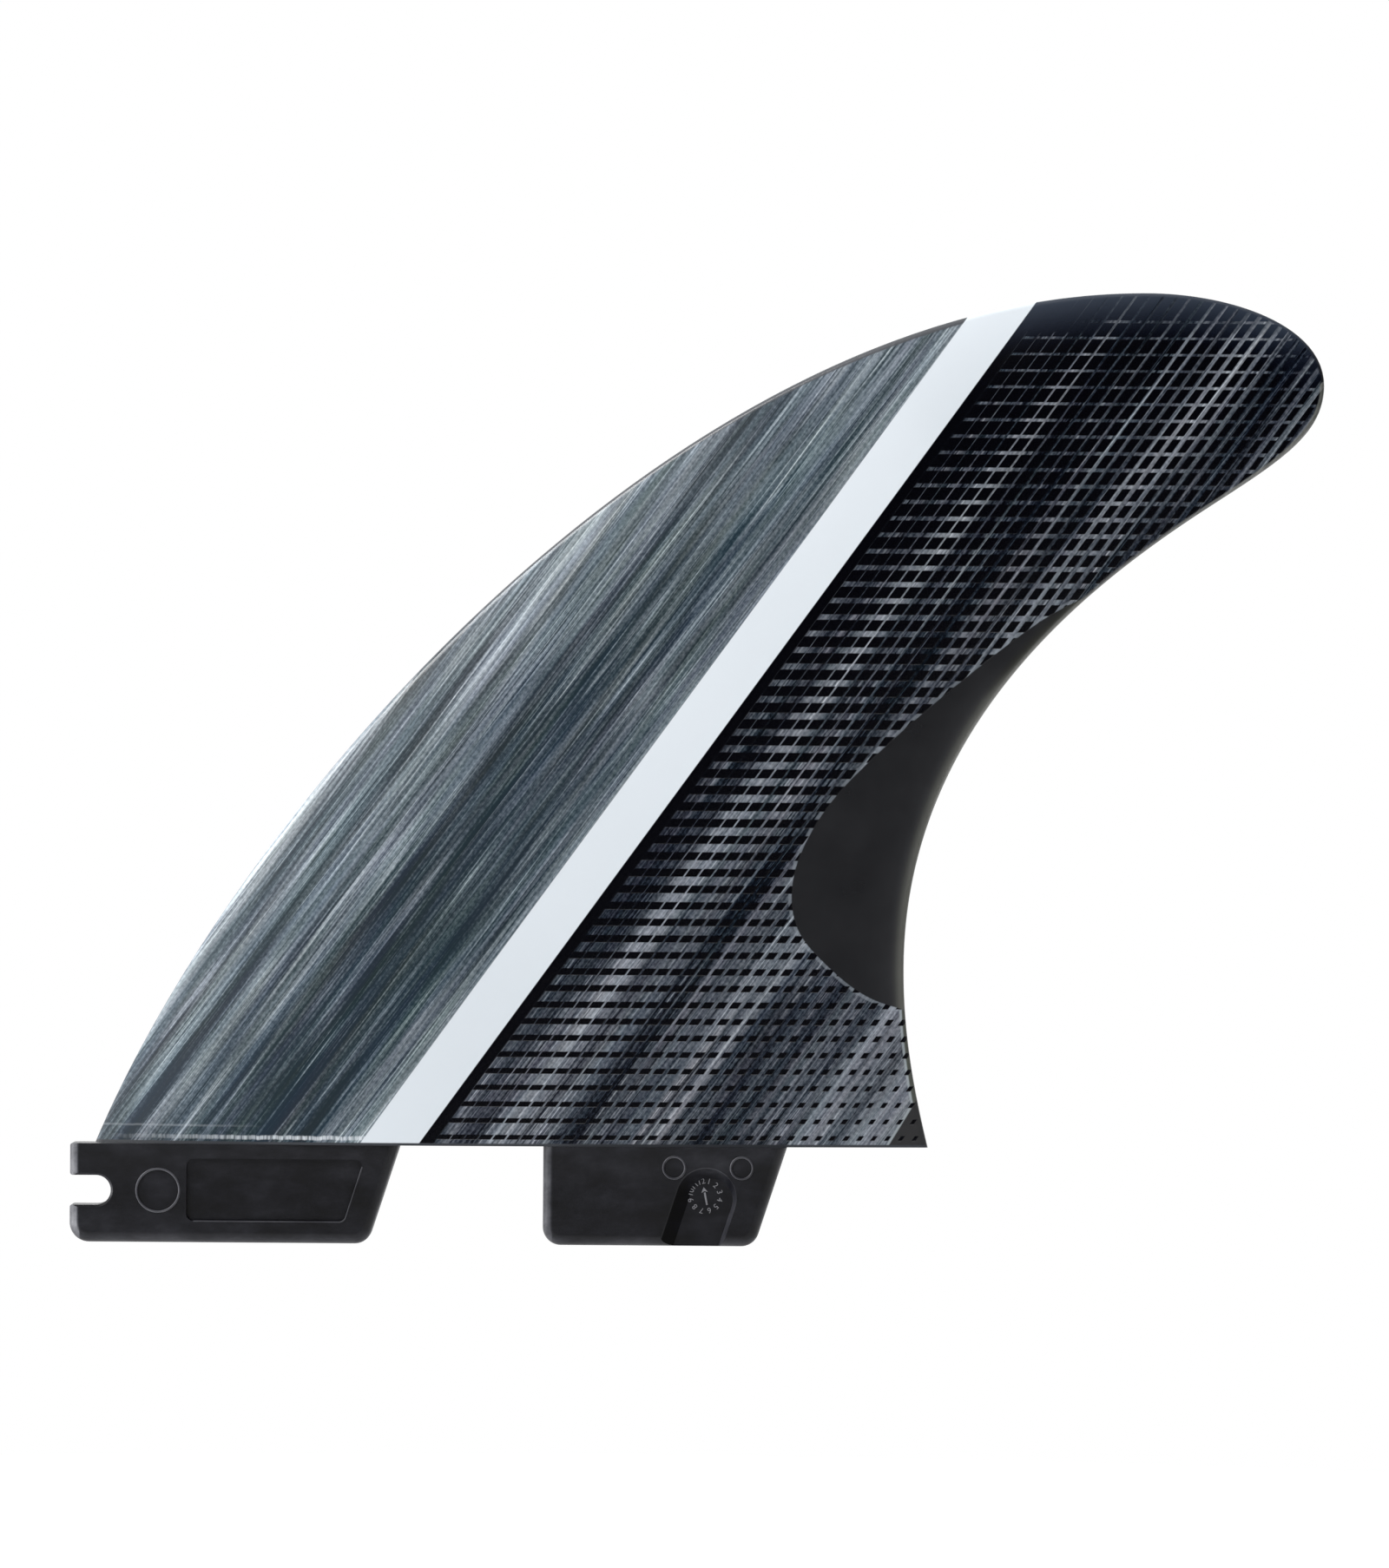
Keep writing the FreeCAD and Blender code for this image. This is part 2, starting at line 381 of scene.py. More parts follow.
class Form(Graph):
    """A Geometry Nodes tree that makes one piece from named inputs, in mm."""

    def __init__(self, name: str) -> None:
        """Start an empty tree with one geometry output."""
        super().__init__(bpy.data.node_groups.new(name, "GeometryNodeTree"))
        self.tree.interface.new_socket("Geometry", in_out="OUTPUT", socket_type="NodeSocketGeometry")
        self.entrance = self.node("NodeGroupInput")
        self.values: dict[str, object] = {}

    def add_input(self, name: str, value: object) -> Socket:
        """Add a named input and remember the value that the modifier gives it.

        Args:
            name: Name of the input.
            value: A float, an object or a material.

        Returns:
            The socket inside the tree.
        """
        kinds = {float: "Float", Piece: "Object", Material: "Material"}
        kind = "NodeSocket" + next(kinds[known] for known in kinds if isinstance(value, known))
        item = self.tree.interface.new_socket(name, in_out="INPUT", socket_type=kind)
        self.values[item.identifier] = value
        return next(socket for socket in self.entrance.outputs if socket.identifier == item.identifier)

    def number(self, name: str, value: float) -> Flow:
        """A named number that can be used in arithmetic."""
        return Flow(self, self.add_input(name, value))

    def shape(self, kind: str, inputs: dict[object, object], **settings: object) -> Socket:
        """First output of a new Geometry node with its inputs fed."""
        return self.first("GeometryNode" + kind, inputs, **settings)

    def guide_curve(self, name: str, guide: Piece) -> Socket:
        """Bring a guide curve into the tree through a named input."""
        info = self.fed("GeometryNodeObjectInfo", {"Object": self.add_input(name, guide)})
        return info.outputs["Geometry"]

    def circle(self, sides: int, radius: Number) -> Socket:
        """Circle of a number of sides."""
        return self.shape("CurvePrimitiveCircle", {"Resolution": sides, "Radius": radius})

    def moved(self, geometry: Socket, **inputs: object) -> Socket:
        """A shape with a Translation, a Rotation or a Scale."""
        return self.shape("Transform", {"Geometry": geometry, **inputs})

    def joined(self, parts: Iterable[Socket]) -> Socket:
        """Several shapes as one."""
        node = self.node("GeometryNodeJoinGeometry")
        for part in parts:
            self.tree.links.new(part, node.inputs[0])
        return node.outputs[0]

    def finish(self, geometry: Socket, material: Material, name: str) -> Piece:
        """Close the tree, run it once and keep its result as a plain mesh in metres.

        Args:
            geometry: What the tree makes.
            material: Material of the whole piece.
            name: Name of the piece.

        Returns:
            The finished object, with no modifier left on it.
        """
        realized = self.shape("RealizeInstances", {0: self.moved(geometry, Scale=(MM, MM, MM))})
        inputs = {"Geometry": realized, "Material": self.add_input("Material", material)}
        self.tree.links.new(self.shape("SetMaterial", inputs), self.node("NodeGroupOutput").inputs[0])
        carrier = linked(name + ".carrier", bpy.data.meshes.new(name + ".carrier"))
        modifier = carrier.modifiers.new(name, "NODES")
        modifier.node_group = self.tree
        for identifier, value in self.values.items():
            modifier[identifier] = value
        graph = bpy.context.evaluated_depsgraph_get()
        mesh = bpy.data.meshes.new_from_object(carrier.evaluated_get(graph))
        bpy.data.objects.remove(carrier)
        mesh.name = name
        return linked(name, mesh)


def bezier_object(name: str, points: Sequence[tuple[Vector, Vector, Vector]]) -> Piece:
    """Guide curve of one Bezier spline, in mm.

    Args:
        name: Name of the object.
        points: For each point its place and its pull back and ahead.

    Returns:
        The curve object.
    """
    data = bpy.data.curves.new(name, "CURVE")
    data.dimensions = "3D"
    data.resolution_u = 64
    spline = data.splines.new("BEZIER")
    spline.bezier_points.add(len(points) - 1)
    for point, (place, back, ahead) in zip(spline.bezier_points, points):
        point.handle_left_type = point.handle_right_type = "FREE"
        point.co = place
        point.handle_left = place + back
        point.handle_right = place + ahead
    return linked(name, data)


@dataclass
class Outline:
    """Edges of the blade in the plane of the fin."""

    tip_drop: float = 12.7
    crown_setback: float = 24.5
    waist_inset: float = 3.5
    waist_level: float = 25.0
    hollow_setback: float = 14.5
    hollow_drop: float = 28.7
    hollow_angle: float = 33.2
    rake_angle: float = 67.5
    heel_angle: float = 76.0
    rake_pull: float = 51.2
    brow_pull: float = 63.0
    crown_pull: float = 12.2
    tip_upper_pull: float = 8.1
    tip_lower_pull: float = 6.3
    hollow_tip_pull: float = 11.0
    hollow_waist_pull: float = 17.1
    waist_upper_pull: float = 35.4
    waist_lower_pull: float = 7.4
    heel_pull: float = 10.8

    def __post_init__(self) -> None:
        """Place the corners from the blade's box in the frame."""
        low, high = (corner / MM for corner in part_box("blade"))
        self.lead = Vector((low.x, 0, 0))
        self.trail = Vector((-low.x, 0, 0))
        self.tip = Vector((high.x, 0, high.z - self.tip_drop))
        self.crown = Vector((high.x - self.crown_setback, 0, high.z))
        self.hollow = Vector((high.x - self.hollow_setback, 0, high.z - self.hollow_drop))
        self.waist = Vector((self.trail.x - self.waist_inset, 0, self.waist_level))

    def guides(self) -> dict[str, Piece]:
        """Make a guide curve for each edge.

        Returns:
            The guides by the name of the tree's input.
        """
        still, up, ahead = Vector(), Vector((0, 0, 1)), Vector((1, 0, 0))
        slope = heading(self.hollow_angle)
        lines = {
            "Leading Edge": [(self.lead, still, heading(self.rake_angle) * self.rake_pull),
                             (self.crown, ahead * -self.brow_pull, still)],
            "Trailing Edge": [(self.trail, still, heading(180 - self.heel_angle) * self.heel_pull),
                              (self.waist, up * -self.waist_lower_pull, up * self.waist_upper_pull),
                              (self.hollow, slope * -self.hollow_waist_pull, still)],
            "Tip Over": [(self.crown, still, ahead * self.crown_pull),
                         (self.tip, up * self.tip_upper_pull, still)],
            "Tip Under": [(self.hollow, still, slope * self.hollow_tip_pull),
                          (self.tip, up * -self.tip_lower_pull, still)]}
        return {name: bezier_object(name, line) for name, line in lines.items()}


@dataclass
class Foil:
    """Thickness of the blade: flat inside, curved outside."""

    base_thickness: float = 6.99
    tip_thickness: float = 1.5
    leading_edge: float = 1.2
    trailing_edge: float = 0.9
    thickest_share: float = 0.36
    nose_power: float = 2.4
    tail_power: float = 1.7
    rim_round: float = 0.5


@dataclass
class Insert:
    """Bare core that shows along the trailing edge, where the printed cloth stops short."""

    line: Pairs = (
        (128.6, 103), (104.6, 89.3), (87, 80.2), (79.5, 76.6), (72.5, 72.8), (61.1, 64), (50.5, 54.7),
        (43.6, 47.4), (39.5, 40.2), (38.4, 34.6), (39.4, 29.8), (42.7, 25.7), (48.4, 21.1), (54.2, 19),
        (64, 17))

    def guide(self) -> Piece:
        """Make the guide curve of its boundary, smooth through its points."""
        places = [Vector((x, 0, z)) for x, z in self.line]
        points = []
        for index, place in enumerate(places):
            before = places[max(index - 1, 0)]
            after = places[min(index + 1, len(places) - 1)]
            along = (after - before).normalized()
            points.append((place, along * -(place - before).length / 3, along * (after - place).length / 3))
        return bezier_object("Insert Edge", points)


class BladeForm:
    """The foiled blade as one closed smooth shell, made by a Geometry Nodes tree."""

    COLUMNS = 72.0
    ROWS = 150.0
    ROWS_BELOW_CROWN = 0.8
    SAME_PLACE = 0.001
    SHARP_ANGLE = 35.0

    def __init__(self, outline: Outline, foil: Foil, insert: Insert) -> None:
        """Keep the sizes and start the tree."""
        self.outline = outline
        self.foil = foil
        self.insert = insert
        self.form = Form("foiled_blade")

    def point_on(self, curve: Socket, share: Flow) -> Socket:
        """Place at a share of a curve's length."""
        inputs = {"Curves": curve, "Factor": share}
        node = self.form.fed("GeometryNodeSampleCurve", inputs, mode="FACTOR", use_all_curves=True)
        return node.outputs["Position"]

    def nearest(self, place: Socket, curves: Sequence[Socket]) -> bpy.types.Node:
        """Nearest place on some curves.

        Args:
            place: Where the search starts.
            curves: The curves.

        Returns:
            The node with the nearest place and the distance to it.
        """
        lines = self.form.joined(self.form.shape("CurveToMesh", {"Curve": curve}) for curve in curves)
        return self.form.fed("GeometryNodeProximity", {0: lines, "Source Position": place},
                             target_element="EDGES")

    def tip_shares(self, x: Flow, z: Flow, front_length: Flow, rear_length: Flow) -> tuple[Flow, Flow]:
        """Span and chord shares of a place past the last row of the fan.

        The rows go on there along the directions in which both edges end, so a place lies on
        the line between A + a * s and B + b * s, and its chord share solves a quadratic.

        Args:
            x: Place along X.
            z: Place along Z.
            front_length: Length of the leading edge.
            rear_length: Length of the trailing edge.

        Returns:
            The span share and the chord share.
        """
        start = self.outline.crown
        across = self.outline.hollow - start
        slope = heading(self.outline.hollow_angle)
        run_x, run_z = x - start.x, z - start.z
        turn_x = rear_length * slope.x - front_length
        turn_z = rear_length * slope.z
        none = run_z * front_length * -1
        once = run_x * turn_z - run_z * turn_x + front_length * across.z
        twice = (turn_z * across.x - turn_x * across.z) * -1
        spread = (once * once - twice * none * 4).root()
        chord = (none * -2) / (once - spread)
        row_x = front_length + chord * turn_x
        row_z = chord * turn_z
        gone_x = run_x - chord * across.x
        gone_z = run_z - chord * across.z
        past = (gone_x * row_x + gone_z * row_z) / (row_x * row_x + row_z * row_z)
        return past + 1, chord

    def thickness(self, span: Flow, chord: Flow, front_length: Flow) -> Flow:
        """Thickness of the foil.

        Args:
            span: Share of the span, which passes one towards the tip.
            chord: Share of the chord.
            front_length: Length of the leading edge.

        Returns:
            The thickness there.
        """
        form, foil = self.form, self.foil
        base = form.number("Base Thickness", foil.base_thickness)
        tip = form.number("Tip Thickness", foil.tip_thickness)
        front = form.number("Leading Edge Thickness", foil.leading_edge)
        rear = form.number("Trailing Edge Thickness", foil.trailing_edge)
        peak = form.number("Thickest Share", foil.thickest_share)
        nose = form.number("Nose Power", foil.nose_power)
        tail = form.number("Tail Power", foil.tail_power)
        whole_span = (front_length + self.outline.crown_setback) / front_length
        thickest = base + (tip - base) * span / whole_span
        rim = front + (rear - front) * chord
        ahead = (1 - chord / peak).power(nose)
        behind = ((chord - peak) / (1 - peak)).power(tail)
        return rim + (thickest - rim) * (1 - (ahead + behind))

    def build(self, material: Material) -> Piece:
        """Build the shell: a grid of rows whose columns run over the outer and back over the inner face.

        Args:
            material: Finish of the blade.

        Returns:
            The blade's object.
        """
        form = self.form
        guides = {**self.outline.guides(), "Insert Edge": self.insert.guide()}
        curves = {name: form.guide_curve(name, guide) for name, guide in guides.items()}
        lead, trail, over, under, edge = curves.values()
        columns = form.number("Columns", self.COLUMNS)
        rows = form.number("Rows", self.ROWS)
        main_share = form.number("Share of Rows Below the Crown", self.ROWS_BELOW_CROWN)
        rim_round = form.number("Rim Round", self.foil.rim_round)
        inner_face = form.number("Inner Face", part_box("front_tab")[1].y / MM)

        shell = form.shape("MeshGrid", {"Size X": 1, "Size Y": 1, "Vertices X": columns * 2 + 1,
                                        "Vertices Y": rows})
        u, v, _ = form.parts_of(form.shape("InputPosition", {}))
        column = ((u + 0.5) * columns * 2).math("ROUND")
        at_seam = column.above(columns * 2 - 0.5)
        on_inner = column.above(columns - 0.5) * (1 - at_seam)
        in_row = form.mix(on_inner, column * (1 - at_seam), columns * 2 - 1 - column)
        chord = (1 - (in_row / (columns - 1) * math.pi).math("COSINE")) / 2
        row = v + 0.5
        span = (row / main_share).ramp(0, 1)
        tip_share = ((row - main_share) / (1 - main_share)).ramp(0, 1)
        past_crown = row.above(main_share)

        front, rear = (
            form.mixed("VECTOR", past_crown, self.point_on(below, span), self.point_on(tip, tip_share))
            for below, tip in ((lead, over), (trail, under)))
        flat = form.mixed("VECTOR", chord, front, rear)
        x, _, z = form.parts_of(flat)
        lengths = [Flow(form, form.shape("CurveLength", {0: curve})) for curve in (lead, trail)]
        far_span, far_chord = self.tip_shares(x, z, *lengths)
        thickness = self.thickness(form.mix(past_crown, span, far_span),
                                   form.mix(past_crown, chord, far_chord), lengths[0])

        lead_gap = form.flow(self.nearest(flat, (lead, over)), "Distance")
        trail_gap = form.flow(self.nearest(flat, (trail, under)), "Distance")
        insert_edge = self.nearest(flat, (edge,))
        edge_x, _, _ = form.parts_of(insert_edge.outputs["Position"])
        insert_gap = form.flow(insert_edge, "Distance") * (x - edge_x).math("SIGN")

        inside_round = (rim_round - lead_gap.at_most(trail_gap)).at_least(0)
        drop = rim_round - (rim_round * rim_round - inside_round * inside_round).root()
        y = form.mix(on_inner, inner_face - thickness + drop, inner_face)
        for name, value in (("lead_gap", lead_gap), ("trail_gap", trail_gap), ("insert_gap", insert_gap)):
            shell = form.shape("StoreNamedAttribute", {"Geometry": shell, "Name": name, "Value": value},
                               data_type="FLOAT", domain="POINT")
        shell = form.shape("SetPosition", {"Geometry": shell, "Position": form.vector(x, y, z)})
        shell = self.smoothed(self.closed_base(self.merged(shell)))
        piece = form.finish(shell, material, "blade_shell")
        for guide in guides.values():
            bpy.data.objects.remove(guide)
        return piece

    def merged(self, shell: Socket) -> Socket:
        """Join the points that lie in one place."""
        return self.form.shape("MergeByDistance", {"Geometry": shell, "Distance": self.SAME_PLACE})

    def closed_base(self, shell: Socket) -> Socket:
        """Close the open loop on the base line with one flat face."""
        form = self.form
        neighbours = form.flow(form.node("GeometryNodeInputMeshEdgeNeighbors"))
        rim = form.shape("MeshToCurve", {"Mesh": shell, "Selection": 1.5 - neighbours})
        cap = form.shape("FlipFaces", {0: form.shape("FillCurve", {0: rim}, mode="NGONS")})
        return self.merged(form.joined((shell, cap)))

    def smoothed(self, shell: Socket) -> Socket:
        """Shade the shell smoothly apart from its sharp edges."""
        form = self.form
        sharp = form.flow(form.node("GeometryNodeInputMeshEdgeAngle")).above(math.radians(self.SHARP_ANGLE))
        faces = form.shape("SetShadeSmooth", {"Geometry": shell, "Shade Smooth": True}, domain="FACE")
        inputs = {"Geometry": faces, "Selection": sharp, "Shade Smooth": False}
        return form.shape("SetShadeSmooth", inputs, domain="EDGE")


@dataclass(frozen=True)
class Stripe:
    """Light diagonal stripe and the solid band beside it, with its tone along its length."""

    foot: tuple[float, float] = (-11.9, 1.2)
    angle: float = 54.2
    width_low: float = 6.62
    width_high: float = 6.36
    edge: float = 0.12
    band: float = 1.6
    tones: Pairs = (
        (0, 0.844), (20, 0.855), (34, 0.875), (50, 0.891), (70, 0.911), (85, 0.914), (100, 0.92),
        (115, 0.911), (124, 0.887), (140, 0.883))
    tint: tuple[float, float, float] = (-0.027, 0.0, 0.025)


class Spot:
    """Where a point of the blade lies: in the frame, off the edges, and across and along the stripe."""

    def __init__(self, shader: Shader, stripe: Stripe) -> None:
        """Add the nodes that work it out.

        Args:
            shader: Tree of the laminate's material.
            stripe: Place and width of the stripe.
        """
        self.x, _, self.z = shader.place()
        self.lead_gap = shader.attribute("lead_gap")
        self.trail_gap = shader.attribute("trail_gap")
        self.insert_gap = shader.attribute("insert_gap")
        way = heading(stripe.angle)
        run_x, run_z = self.x - stripe.foot[0], self.z - stripe.foot[1]
        self.across = run_x * way.z - run_z * way.x
        self.along = run_x * way.x + run_z * way.z
        width = self.along.ramp(20, 100, stripe.width_low, stripe.width_high)
        self.left = (self.across + width) * -1
        self.on_left = self.left.step(0, stripe.edge)
        self.past_stripe = self.across.step(self.along.ramp(0, 110, -0.08, 0.06), stripe.edge)
        self.on_stripe = (1 - self.on_left) * (1 - self.past_stripe)


@dataclass(frozen=True)
class Mesh:
    """Printed mesh of dark cells: level rows, and columns that lean like the stripe."""

    row_pitch: float = 2.2827
    row_origin: float = -1.043
    column_pitch: float = 1.908
    column_origin: float = -0.5
    height_at_base: float = 0.66
    height_growth: float = 0.0122
    height_most: float = 1.98
    width_at_stripe: float = 1.88
    width_loss: float = 0.0245
    last_row: float = 115.2
    softness: float = 0.12

    def cells(self, spot: Spot, angle: float) -> Flow:
        """Share of dark cell, which grow taller upwards and narrower away from the stripe.

        Args:
            spot: Place on the blade.
            angle: Lean of the columns.

        Returns:
            The share, from nought to one.
        """
        lean = 1 / math.tan(math.radians(angle))
        height = (spot.z * self.height_growth + self.height_at_base).at_most(self.height_most)
        height = height + spot.z.above(self.last_row) * self.row_pitch
        width = spot.across * -self.width_loss + self.width_at_stripe
        from_row = spot.z.from_middle(self.row_pitch, self.row_origin)
        from_column = (spot.x - spot.z * lean).from_middle(self.column_pitch, self.column_origin)
        return from_row.fall(height / 2, self.softness) * from_column.fall(width / 2, self.softness)


@dataclass(frozen=True)
class Fibres:
    """Fibres of the cloth, which run nearly with the stripe.

    A layer has its rates across and along and its strength, hairs have a lean, a rate and a
    seed, and strands have a rate, a strength and a seed. Rates are per mm.
    """

    lean: float = 0.017
    layers: Triples = ((0.3, 0.004, 0.20), (0.65, 0.01, 0.18), (1.4, 0.03, 0.16), (3.1, 0.06, 0.20))
    hairs: Triples = ((0.012, 2.3, 3), (-0.009, 3.3, 41))
    strands: Triples = ((1.1, 0.17, 71), (0.8, -0.09, 97), (1.7, 0.14, 123))
    pale_hair: float = 0.16
    dark_hair: float = 0.11
    grain: float = 0.24

    def streaks(self, shader: Shader, spot: Spot) -> Flow:
        """Tone that the fibres add, from broad bands to single hairs and grain.

        Args:
            shader: Tree of the material.
            spot: Place on the blade.

        Returns:
            The tone, about nought.
        """
        across, along = spot.across, spot.along
        aside = across - along * self.lean
        total = sum(shader.noise(aside * fine + 17 * index, along * long + 5 * index, detail=0) * strength
                    for index, (fine, long, strength) in enumerate(self.layers))
        for lean, rate, seed in self.hairs:
            hairs = shader.noise((aside + along * lean) * rate + seed, along * 0.022 + seed)
            pale, dark = hairs.ramp(0.13, 0.28), hairs.ramp(-0.14, -0.29)
            total = total + pale * self.pale_hair - dark * self.dark_hair
        for rate, strength, seed in self.strands:
            strands = shader.noise(aside * rate + seed, along * 0.015 + seed)
            patches = shader.noise(aside * 0.5 + seed, along * 0.05)
            total = total + strands.size().ramp(0.05, 0.01) * patches.ramp(-0.08, 0.2) * strength
        return total + shader.noise(across * 2.6, along * 1.7, roughness=0.6) * self.grain


@dataclass(frozen=True)
class Fray:
    """Edges of the cloth at the foot of the blade, with pale threads along them."""

    corner: tuple[float, float] = (52.2, 0.6)
    corner_slope: tuple[float, float] = (0.853, 0.522)
    top: float = 19.3
    strip_colour: Levels = (82, 85, 80)
    corner_colour: Levels = (54, 54, 55)
    edge_thread: Levels = (160, 168, 172)
    base_thread: Levels = (206, 212, 218)
    thread_level: float = 0.95
    faint_level: float = 2.5

    def over(self, shader: Shader, spot: Spot, cloth: Socket) -> Socket:
        """Lay the bare edges and their threads over the cloth.

        Args:
            shader: Tree of the material.
            spot: Place on the blade.
            cloth: Colour of the cloth.

        Returns:
            The colour with the edges added.
        """
        x, z = spot.x, spot.z
        strip = z.ramp(5, 19, 0.75, 0.5) - spot.trail_gap
        corner = (x - self.corner[0]) * self.corner_slope[0] - (z - self.corner[1]) * self.corner_slope[1]
        beyond = strip.at_least(corner)
        low = z.fall(self.top, 1)
        bare = shader.blend(corner.step(0, 0.2), paint(*self.strip_colour), paint(*self.corner_colour))
        wander = shader.noise(x * 0.5, 0, detail=3, roughness=0.7)
        broken = shader.noise(x * 2.2 + 9, 3, detail=2, roughness=0.6).ramp(-0.12, 0.08, 0.25, 1)
        reach = x.ramp(-56, -30) * x.fall(-12, 1)
        thread = z.near(wander * 0.5 + self.thread_level, 0.26, 0.2) * broken * reach
        faint = z.near(wander * 0.2 + self.faint_level, 0.13, 0.15) * x.ramp(-34, -44) * 0.13
        return shader.layered(
            cloth, (beyond.step(0, 0.15) * low, bare),
            (beyond.near(-0.12, 0.17, 0.15) * low * 0.7, paint(*self.edge_thread)),
            (thread * 0.8 + faint, paint(*self.base_thread)))


@dataclass(frozen=True)
class Laminate:
    """Finish of the blade: streaked cloth and print under clear resin.

    The bands give the cloth's tone by the distance from the stripe, and the core's tones go by
    the distance from the trailing edge; near that edge they carry a painted highlight of light through and
    off the thin edge.
    """

    stripe: Stripe = Stripe()
    mesh: Mesh = Mesh()
    fibres: Fibres = Fibres()
    fray: Fray = Fray()
    left_bands: Pairs = (
        (0, 0.57), (1.2, 0.44), (2.6, 0.385), (4, 0.415), (5.4, 0.335), (7, 0.26), (9, 0.31),
        (11.5, 0.235), (12.6, 0.24), (14.8, 0.335), (16.6, 0.28), (18.3, 0.43), (19.5, 0.435),
        (20.6, 0.375), (21.6, 0.435), (22.5, 0.41), (23.6, 0.47), (24.9, 0.475), (26.8, 0.255),
        (28.6, 0.455), (30, 0.375), (31, 0.37), (32.3, 0.55), (33.5, 0.63), (60, 0.61))
    right_bands: Pairs = (
        (0, 0.27), (3.4, 0.29), (5, 0.225), (6.5, 0.35), (8.8, 0.505), (11.4, 0.245), (14.2, 0.355),
        (16, 0.165), (17.3, 0.165), (18.7, 0.31), (21.5, 0.3), (24.5, 0.4), (28, 0.33), (32, 0.22),
        (36, 0.3), (40, 0.37), (46, 0.42), (60, 0.42))
    # Tones of the bare core; those within about 2 mm of the trailing edge are a painted highlight.
    core_tones: Pairs = (
        (0, 0.43), (0.4, 0.375), (0.65, 0.345), (0.85, 0.31), (1.1, 0.272), (1.5, 0.216), (2.1, 0.18),
        (3, 0.165), (4.2, 0.154), (9, 0.149))
    thread: Levels = (150, 158, 166)
    seam: Levels = (74, 76, 80)
    base_line: Levels = (62, 64, 68)
    roughness: float = 0.22
    relief: float = 0.03

    def cloth(self, shader: Shader, spot: Spot, streaks: Flow) -> Socket:
        """Colour of the cloth on both sides of the stripe.

        Args:
            shader: Tree of the material.
            spot: Place on the blade.
            streaks: Tone that the fibres add.

        Returns:
            The colour.
        """
        across, along, left, past = spot.across, spot.along, spot.left, spot.past_stripe
        right = across - along.ramp(95, 140, 0, 2)
        bands = shader.mix(spot.on_left, right.curve(self.right_bands), left.curve(self.left_bands))
        slow = shader.noise(across * 0.12, along * 0.03) * 0.05
        lift = along.ramp(0, 125, -0.085, 0.1) * left.ramp(3, 7) * left.ramp(22, 30, 1, 0.5)
        lift = lift - along.ramp(100, 145) * across.ramp(19, 14) * past * 0.06
        tone = (bands + streaks + slow + lift - 0.03).math("SMOOTH_MAX", spot.on_left * 0.18, 0.15)
        warm = shader.noise(across * 0.45 + 60, along * 0.025, detail=2, roughness=0.6) * 0.05
        cool = shader.noise(across * 0.6 + 90, along * 0.03, detail=2, roughness=0.6) * 0.06
        red = warm + past * 0.018 - 0.038
        blue = cool * (1 - past * 0.5) + past * 0.004 + 0.028
        return shader.tinted(tone, (red, 0, blue))

    def printed(self, spot: Spot) -> Flow:
        """Share of dark print: the mesh, the band beside the stripe, and the rim and top of the tip."""
        cells = self.mesh.cells(spot, self.stripe.angle)
        solid = spot.across.fall(self.stripe.band, 0.35)
        border = spot.lead_gap.fall(0.5, 0.3) * spot.z.step(100, 3)
        unlined = spot.z.step(112.6, 0.5) * spot.x.ramp(86, 76, 0.35, 1)
        return cells.at_least(solid).at_least(border).at_least(unlined) * spot.past_stripe

    def core(self, shader: Shader, spot: Spot) -> Socket:
        """Colour of the bare core, with a painted highlight that makes it paler and warmer towards the
        trailing edge.
        """
        gap = spot.trail_gap
        cloudy = shader.noise(spot.x * 0.15, spot.z * 0.15, detail=2) * 0.04
        tone = (gap * spot.z.ramp(62, 71, 1, 2.2)).curve(self.core_tones) + cloudy
        return shader.tinted(tone, (0, 0.002, gap.ramp(0, 1.8, -0.022, 0.01)))

    def material(self) -> Material:
        """Make the material, from the cloth up to the clear resin."""
        shader = Shader("printed_laminate")
        stripe = self.stripe
        spot = Spot(shader, stripe)
        z, lead_gap, trail_gap = spot.z, spot.lead_gap, spot.trail_gap
        streaks = self.fibres.streaks(shader, spot)
        cloth = self.fray.over(shader, spot, self.cloth(shader, spot, streaks))
        # Clear resin band along the trailing edge, widest near the tip; its pale tone is painted light
        # shining through the thin edge.
        on_band = trail_gap.fall(z.ramp(84, 98, 0.28, 0.6), 0.2) * z.step(20, 2)
        resin = shader.tinted(trail_gap.ramp(0, 0.6, 0.36, 0.44) + streaks * 0.3, (0, 0.006, -0.008))
        thread = spot.insert_gap.near(-0.2, 0.25, 0.2) * trail_gap.step(0.8, 0.4)
        dark = self.printed(spot)
        # Painted sheen: the dark print turns paler and bluer near the leading edge at the crown, where the
        # curved surface would mirror the light above.
        crown_sheen = lead_gap.ramp(7, 0.3) * z.ramp(104, 113)
        ink_with_crown_sheen = shader.tinted(crown_sheen * 0.2 + 0.016, (crown_sheen * -0.01 - 0.01, crown_sheen * 0.008, crown_sheen * 0.02 + 0.034))
        on_insert = spot.insert_gap.step(0, 0.15)
        on_seam = lead_gap.fall(z.ramp(60, 112, 0.02, 0.75), 0.2)
        colour = shader.layered(
            cloth, (on_band, resin), (thread * 0.35, paint(*self.thread)),
            (dark * (1 - on_band * 0.9), ink_with_crown_sheen), (on_insert, self.core(shader, spot)),
            (spot.on_stripe, shader.tinted(spot.along.curve(stripe.tones), stripe.tint)),
            (on_seam * (1 - spot.on_stripe) * (1 - spot.past_stripe), paint(*self.seam)),
            (z.fall(0.36, 0.15), paint(*self.base_line)))
        weave = (streaks * 0.5 + dark * 0.4) * (1 - on_insert.at_least(spot.on_stripe))
        return shader.finish(Base_Color=colour, Roughness=self.roughness,
                             Normal=shader.bump(weave, self.relief))


